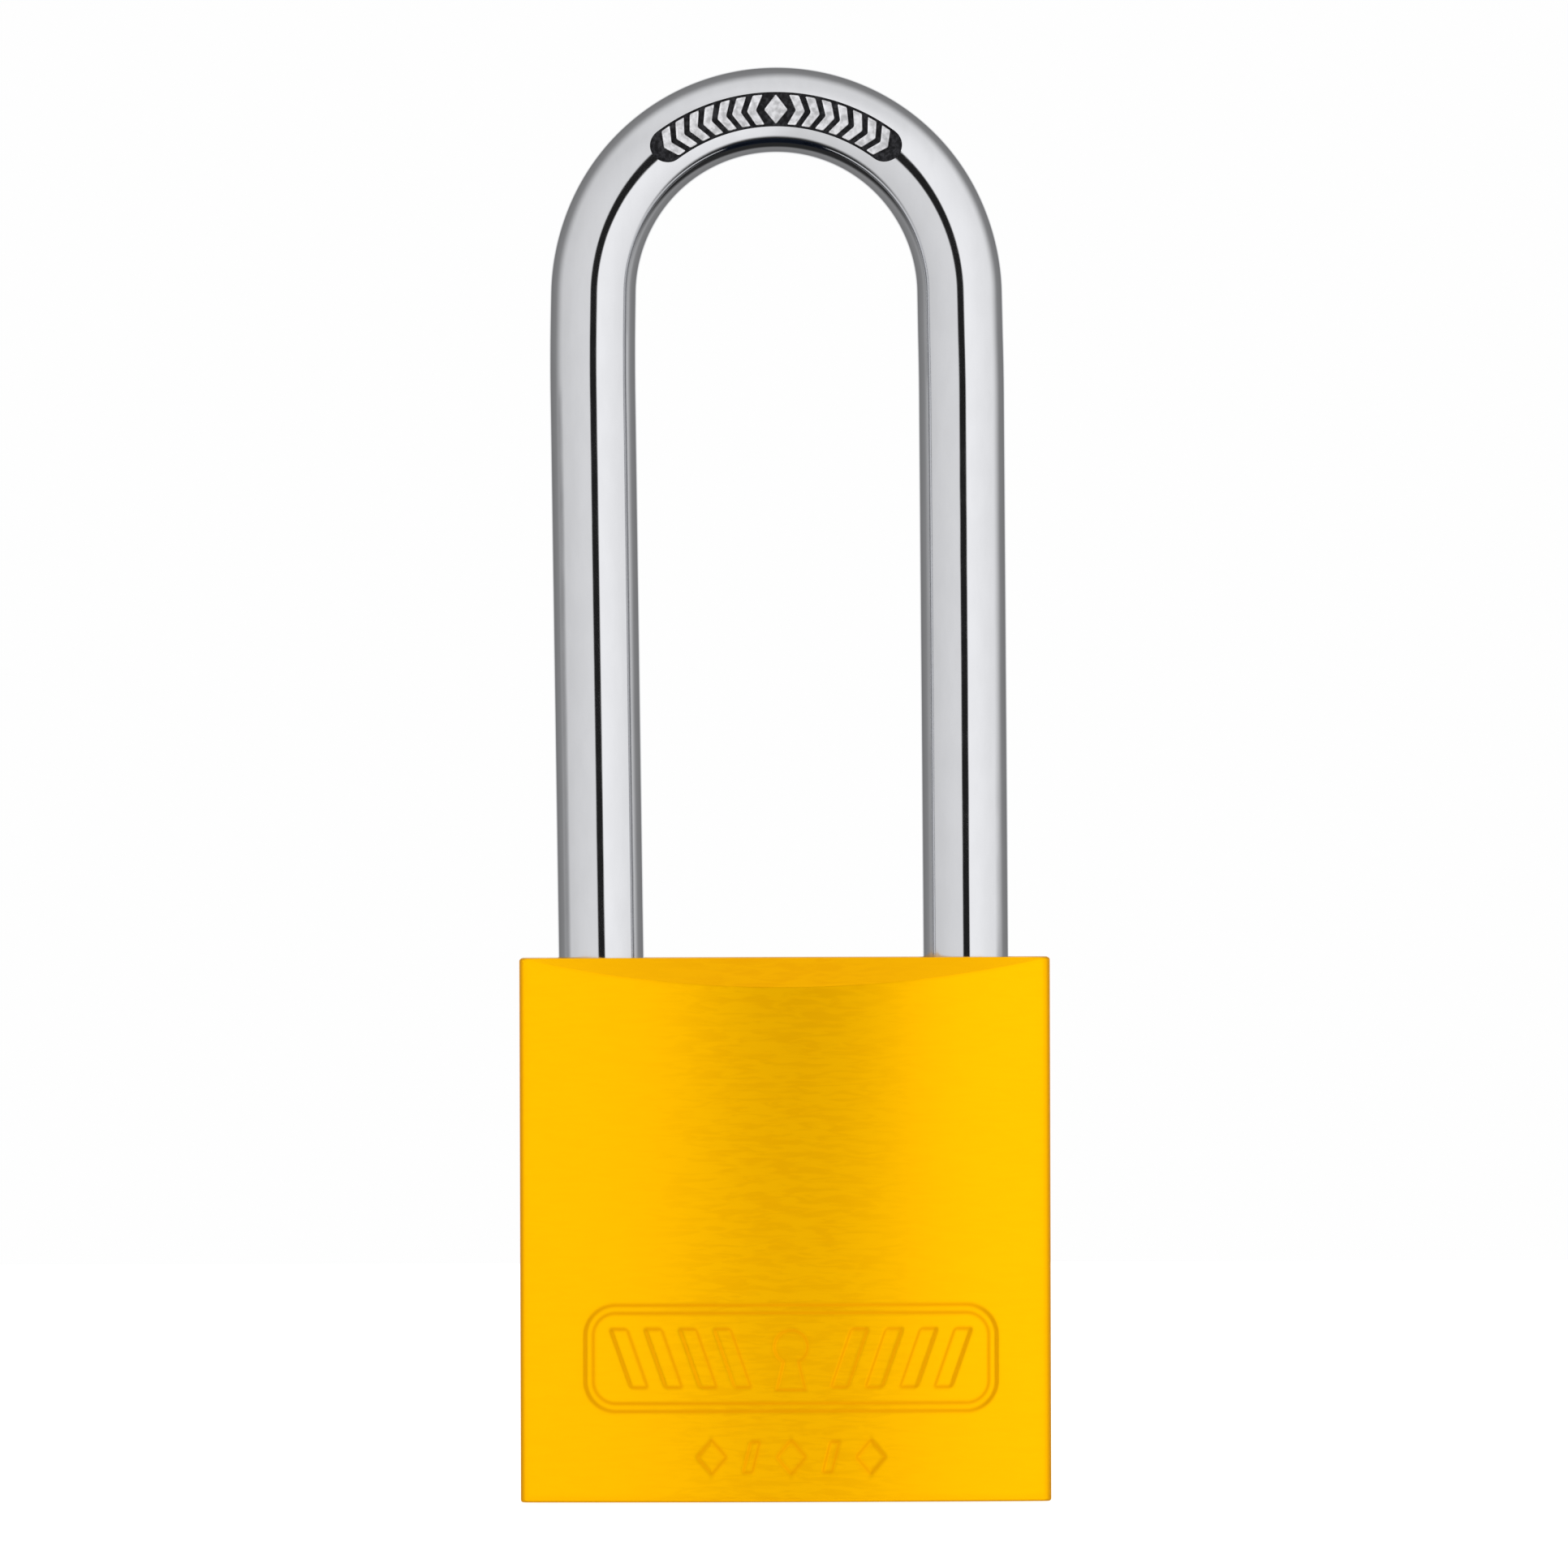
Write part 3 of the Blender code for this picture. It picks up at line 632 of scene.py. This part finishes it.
class Graph:
    """Short names for the shader nodes used here."""

    def __init__(self, tree):
        self.tree = tree
        self.tree.nodes.clear()

    def node(self, kind, inputs=None, **settings):
        made = self.tree.nodes.new(kind)
        for key, value in settings.items():
            setattr(made, key, value)
        for key, value in (inputs or {}).items():
            if isinstance(value, bpy.types.NodeSocket):
                self.tree.links.new(value, made.inputs[key])
            else:
                made.inputs[key].default_value = value
        return made

    def math(self, operation, first, second=0.0, clamp=False):
        made = self.node("ShaderNodeMath", {0: first, 1: second}, operation=operation, use_clamp=clamp)
        return made.outputs[0]

    def step(self, low, high, value):
        """Smooth step from 0 to 1."""
        made = self.node("ShaderNodeMapRange", {"Value": value, "From Min": low, "From Max": high},
                         interpolation_type="SMOOTHSTEP")
        return made.outputs["Result"]

    def mix(self, factor, first, second):
        """Between two numbers."""
        made = self.node("ShaderNodeMix", {0: factor, 2: first, 3: second}, data_type="FLOAT")
        return made.outputs[0]

    def blend(self, factor, first, second):
        """Between two colours."""
        made = self.node("ShaderNodeMix", {0: factor, 6: first, 7: second}, data_type="RGBA")
        return made.outputs[2]

    def axes(self, space):
        """The three coordinates of one of the coordinate spaces."""
        place = self.node("ShaderNodeTexCoord").outputs[space]
        return self.node("ShaderNodeSeparateXYZ", {0: place}).outputs

    def noise(self, scale, detail=3.0, distortion=0.0):
        """Noise in object space, with its own scale along each axis."""
        place = self.node("ShaderNodeTexCoord").outputs["Object"]
        mapped = self.node("ShaderNodeMapping", {"Vector": place, "Scale": scale}).outputs[0]
        made = self.node("ShaderNodeTexNoise", {"Vector": mapped, "Scale": 1.0, "Detail": detail,
                                                "Distortion": distortion})
        return made.outputs[0]

    def even_noise(self, scale, detail=3.0):
        """Noise in object space, with one scale."""
        return self.noise((scale, scale, scale), detail)

    def rings(self, scale):
        """Noise that runs round the Z axis, as a lathe leaves it."""
        x, y, z = self.axes("Object")
        squares = self.math("ADD", self.math("MULTIPLY", x, x), self.math("MULTIPLY", y, y))
        turned = self.node("ShaderNodeCombineXYZ", {0: self.math("SQRT", squares), 1: z}).outputs[0]
        made = self.node("ShaderNodeTexNoise", {"Vector": turned, "Scale": scale, "Detail": 3.0})
        return made.outputs[0]

    def bump(self, height, distance):
        made = self.node("ShaderNodeBump", {"Height": height, "Distance": distance, "Strength": 1.0})
        return made.outputs[0]

    def shader(self, inputs):
        return self.node("ShaderNodeBsdfPrincipled", inputs).outputs[0]

    def finish(self, shader):
        self.node("ShaderNodeOutputMaterial", {"Surface": shader})


def new_material(name):
    material = bpy.data.materials.new(name)
    material.use_nodes = True
    return material, Graph(material.node_tree)


def opaque(colour):
    return colour + (1.0,)


def dimmed(colour, factor):
    return tuple(factor * part for part in colour)


def anodised_aluminium():
    """Yellow anodised aluminium with fine horizontal brushing, and painted shade in the stamped grooves,
    on the top chamfer, at the outer edges and along the foot.

    The brushing streaks are real, and are painted darker and stronger across the middle of the face as a
    painted reflection of the dark band there. In a mirror further off than the legs' feet, or after a
    second reflection, the body is nearly black, like the studio's dark ground.
    """
    bright, brushed = (0.965, 0.486, 0.0006), (0.900, 0.428, 0.0004)
    # stamped is the colour of the painted shade in the grooves, on the chamfer, at the edges and along the
    # foot.
    stamped, mirrored_dark = (0.72, 0.29, 0.0004), (0.010, 0.014, 0.024)
    middle_reach, middle_full = 12 * MM, 3 * MM
    near_mirror = 50 * MM
    material, g = new_material("anodised_yellow")
    strokes = g.noise((430.0, 430.0, 2500.0), detail=2.0, distortion=0.7)
    x, _, z = g.axes("Object")
    # Painted reflection: the brushing streaks darken the colour most across the middle of the face, where
    # the dark band is reflected.
    middle = g.step(middle_reach, middle_full, g.math("ABSOLUTE", x))
    depth = g.math("MULTIPLY", g.step(0.40, 0.64, strokes), g.mix(middle, 0.15, 0.75))
    colour = g.blend(depth, opaque(bright), opaque(brushed))
    # Painted shade: darker towards that colour in the stamped grooves, on the top chamfer, at the outer
    # edges and along the foot.
    painted_shade = g.node("ShaderNodeAttribute", attribute_name="painted_shade").outputs["Fac"]
    colour = g.blend(g.math("MULTIPLY", painted_shade, 0.85), colour, opaque(stamped))
    path = g.node("ShaderNodeLightPath").outputs
    far = g.math("GREATER_THAN", path["Ray Length"], near_mirror)
    deep = g.math("GREATER_THAN", path["Glossy Depth"], 1.5)
    mirrored = g.math("MULTIPLY", path["Is Glossy Ray"], g.math("MAXIMUM", far, deep))
    colour = g.blend(mirrored, colour, opaque(mirrored_dark))
    rough = g.mix(g.math("DIVIDE", z, HEIGHT, clamp=True), 0.39, 0.30)
    tangent = g.node("ShaderNodeTangent", direction_type="RADIAL", axis="Z").outputs[0]
    g.finish(g.shader({"Base Color": colour, "Metallic": 0.62, "Roughness": rough,
                       "Normal": g.bump(strokes, 0.010 * MM), "Specular IOR Level": 0.0,
                       "Anisotropic": 0.6, "Anisotropic Rotation": 0.25, "Tangent": tangent}))
    return material


def chrome_plate():
    """Bright plating over drawn rod: mirror-like with faint waviness and haze."""
    colour, roughness = (0.66, 0.665, 0.68), 0.05
    waviness = 0.020 * MM
    material, g = new_material("chrome")
    haze = g.noise((900.0, 900.0, 300.0), detail=4.0)
    wave = g.noise((160.0, 160.0, 90.0), detail=2.0)
    tone = g.blend(g.step(0.3, 0.7, haze), opaque(dimmed(colour, 0.965)), opaque(colour))
    rough = g.mix(g.step(0.35, 0.7, haze), roughness, roughness + 0.035)
    g.finish(g.shader({"Base Color": tone, "Metallic": 1.0, "Roughness": rough,
                       "Normal": g.bump(wave, waviness)}))
    return material


def worked_metal(name, colour, roughness, scale=None, tarnish=0.12):
    """A slightly tarnished metal: with marks at a scale along each axis, or turned where none is given."""
    material, g = new_material(name)
    marks = g.noise(scale) if scale else g.rings(5200.0)
    cloud = g.even_noise(260.0, detail=2.0)
    tone = g.blend(g.step(0.32, 0.7, cloud), opaque(dimmed(colour, 1 - tarnish)), opaque(colour))
    rough = g.mix(g.step(0.3, 0.7, marks), roughness, roughness + 0.12)
    g.finish(g.shader({"Base Color": tone, "Metallic": 1.0, "Roughness": rough,
                       "Normal": g.bump(marks, 0.006 * MM)}))
    return material


def raised_metal():
    """The worn, satin-bright top of the pattern in the crown's recess."""
    worn, bright = (0.42, 0.42, 0.43), (0.74, 0.74, 0.76)
    material, g = new_material("raised_metal")
    cloud = g.even_noise(2200.0)
    colour = g.blend(g.step(0.3, 0.7, cloud), opaque(worn), opaque(bright))
    g.finish(g.shader({"Base Color": colour, "Metallic": 0.45, "Roughness": 0.34,
                       "Normal": g.bump(cloud, 0.01 * MM)}))
    return material


def etched_floor():
    """The dark, matt floor of the crown's recess."""
    dark, light = (0.006, 0.006, 0.007), (0.036, 0.036, 0.040)
    material, g = new_material("etched_floor")
    speckle = g.even_noise(3800.0)
    colour = g.blend(g.step(0.35, 0.75, speckle), opaque(dark), opaque(light))
    g.finish(g.shader({"Base Color": colour, "Metallic": 0.0, "Roughness": 0.6, "Specular IOR Level": 0.12,
                       "Normal": g.bump(speckle, 0.02 * MM)}))
    return material


def dress_inner_nodes(anodised):
    """Node materials for the CAD nodes that keep their own shape."""
    across = (6000.0, 900.0, 900.0)          # marks round a pin that lies along X
    fine, grain, coarse = (3000.0,) * 3, (2400.0,) * 3, (1500.0,) * 3
    brass = worked_metal("brass_turned", (0.80, 0.56, 0.22), 0.26, tarnish=0.08)
    brass_pin = worked_metal("brass_pin", (0.83, 0.60, 0.25), 0.22, across)
    nickel = worked_metal("nickel_plate", (0.70, 0.67, 0.60), 0.22, tarnish=0.05)
    ground = worked_metal("ground_steel", (0.56, 0.57, 0.58), 0.12, grain, tarnish=0.06)
    pin_steel = worked_metal("pin_steel", (0.56, 0.56, 0.57), 0.24, across)
    spring = worked_metal("spring_wire", (0.40, 0.40, 0.42), 0.30, fine)
    zinc = worked_metal("zinc_plate", (0.60, 0.63, 0.66), 0.34, coarse, tarnish=0.18)
    finishes = {"cylinder_housing": brass, "chamber_strip": brass, "key_plug": nickel, "toe_ball": ground,
                "heel_ball": ground, "actuator_cam": zinc, "housing_screw": zinc, "plug_clip": spring,
                "shackle_spring": spring, "ball_channel_plug": anodised}
    stacks = {"key_pin": brass_pin, "driver_pin": pin_steel, "pin_spring": spring}
    for name, node in NODES.items():
        finish = finishes.get(name) or stacks.get(name.rpartition("_")[0])
        if finish:
            node.data.materials.clear()
            node.data.materials.append(finish)


# ---------------------------------------------------------------- studio

def oval(g, first, second, first_reach, second_reach):
    """1 inside an oval in two coordinates, 0 outside, with a soft rim."""
    rim_outside, rim_inside = 1.45, 0.62
    one = g.math("POWER", g.math("ABSOLUTE", g.math("DIVIDE", first, first_reach)), 2.0)
    two = g.math("POWER", g.math("ABSOLUTE", g.math("DIVIDE", second, second_reach)), 2.0)
    return g.step(rim_outside, rim_inside, g.math("ADD", one, two))


def add_dark_gap(g, light, x, towards, z):
    """The dark gap between the two panels, in front of the object."""
    across = g.math("MULTIPLY", x, cos(GAP_SIDE))
    beside = g.math("SUBTRACT", across, g.math("MULTIPLY", towards, sin(GAP_SIDE)))
    gap = oval(g, beside, z, GAP_HALF_WIDTH, GAP_HALF_HEIGHT)
    return g.mix(g.math("MULTIPLY", gap, g.math("GREATER_THAN", towards, 0.0)), light, GAP_LIGHT)


def add_dark_ground(g, light, x, y, z):
    """The dark patch under the object, which the crown's underside shows."""
    back, half_width, half_depth, strength = DARK_GROUND
    patch = oval(g, x, g.math("SUBTRACT", y, back), half_width, half_depth)
    return g.mix(g.math("MULTIPLY", patch, g.math("LESS_THAN", z, 0.0)), light, strength)


def make_world():
    """A studio all round: white panels either side of the camera with a dark gap between them,
    grey towards the back, and a plain white background for what the camera sees directly."""
    world = bpy.data.worlds.new("studio")
    world.use_nodes = True
    bpy.context.scene.world = world
    g = Graph(world.node_tree)
    x, y, z = g.axes("Generated")
    towards = g.math("MULTIPLY", y, -1.0)
    off = g.math("ARCCOSINE", towards)
    right = g.step(-PANEL_TURN, PANEL_TURN, x)
    ceiling_low, ceiling_high, ceiling = CEILING
    panel = g.mix(g.step(ceiling_low, ceiling_high, z), g.mix(right, *PANELS), ceiling)
    fade_start, fade_end, near_factor, far_factor = PANEL_FADE
    fade = g.mix(g.step(fade_start, fade_end, off), near_factor, far_factor)
    panel = g.math("MULTIPLY", panel, fade)
    past_edge = g.math("SUBTRACT", off, g.mix(right, *PANEL_EDGES))
    fall = g.step(-PANEL_EDGE_SOFT, PANEL_EDGE_SOFT, past_edge)
    rear_start, rear_end, rear_near, rear_far = REAR
    light = g.mix(fall, panel, g.mix(g.step(rear_start, rear_end, off), rear_near, rear_far))
    window_start, window_end, window = REAR_WINDOW
    light = g.mix(g.step(window_start, window_end, off), light, window)
    light = add_dark_gap(g, light, x, towards, z)
    light = add_dark_ground(g, light, x, y, z)
    studio = g.node("ShaderNodeBackground", {"Strength": light, "Color": (1.0, 1.0, 1.01, 1.0)})
    white = g.node("ShaderNodeBackground", {"Strength": 1.0, "Color": (0.992, 0.992, 0.992, 1.0)})
    seen = g.node("ShaderNodeLightPath").outputs["Is Camera Ray"]
    both = g.node("ShaderNodeMixShader", {0: seen, 1: studio.outputs[0], 2: white.outputs[0]})
    g.node("ShaderNodeOutputWorld", {"Surface": both.outputs[0]})


def floor_paint():
    """Pale and evenly lit from above, and clear from below."""
    low, high = (0.34, 0.34, 0.34), (0.36, 0.36, 0.36)
    material, g = new_material("floor_paint")
    colour = g.blend(g.even_noise(60.0, detail=2.0), opaque(low), opaque(high))
    paint = g.shader({"Base Color": colour, "Roughness": 0.9, "Specular IOR Level": 0.0,
                      "Emission Color": (1.0, 1.0, 1.0, 1.0), "Emission Strength": 0.92})
    below = g.node("ShaderNodeNewGeometry").outputs["Backfacing"]
    clear = g.node("ShaderNodeBsdfTransparent").outputs[0]
    g.finish(g.node("ShaderNodeMixShader", {0: below, 1: paint, 2: clear}).outputs[0])
    return material


def make_floor():
    """A large pale floor just under the base, which reflections don't see."""
    bm = bmesh.new()
    bmesh.ops.create_grid(bm, x_segments=8, y_segments=8, size=FLOOR_HALF_SIZE)
    floor = make_object("floor", bm)
    floor.location.z = BODY_LOW.z - FLOOR_GAP
    floor.data.materials.append(floor_paint())
    floor.visible_glossy = False


def make_fill(name, heading, strength):
    """A soft level light that mirrors don't see, so that it adds to the body's matt share only."""
    data = bpy.data.lights.new(name, "SUN")
    data.energy = strength
    data.angle = FILL_ANGLE
    lamp = bpy.data.objects.new(name, data)
    bpy.context.scene.collection.objects.link(lamp)
    lamp.visible_glossy = False
    lamp.rotation_mode = "QUATERNION"
    lamp.rotation_quaternion = Vector((sin(heading), cos(heading), 0.0)).to_track_quat("-Z", "Y")


def make_camera():
    data = bpy.data.cameras.new("camera")
    data.sensor_width = SENSOR
    data.lens = SENSOR * CAMERA_DISTANCE / FIELD_WIDTH
    data.clip_end = CAMERA_REACH
    camera = bpy.data.objects.new("camera", data)
    bpy.context.scene.collection.objects.link(camera)
    camera.matrix_world = (Matrix.Translation((0.0, -CAMERA_DISTANCE, AIM_Z))
                           @ Matrix.Rotation(pi / 2, 4, "X") @ Matrix.Rotation(ROLL, 4, "Z"))
    bpy.context.scene.camera = camera


make_camera()
yellow = anodised_aluminium()
make_body(yellow)
make_shackle(chrome_plate(), etched_floor())
make_crown_relief(raised_metal())
dress_inner_nodes(yellow)
make_world()
make_fill("front_fill", *FRONT_FILL)
make_fill("rear_fill", *REAR_FILL)
make_floor()
bpy.context.scene.view_settings.view_transform = "Standard"
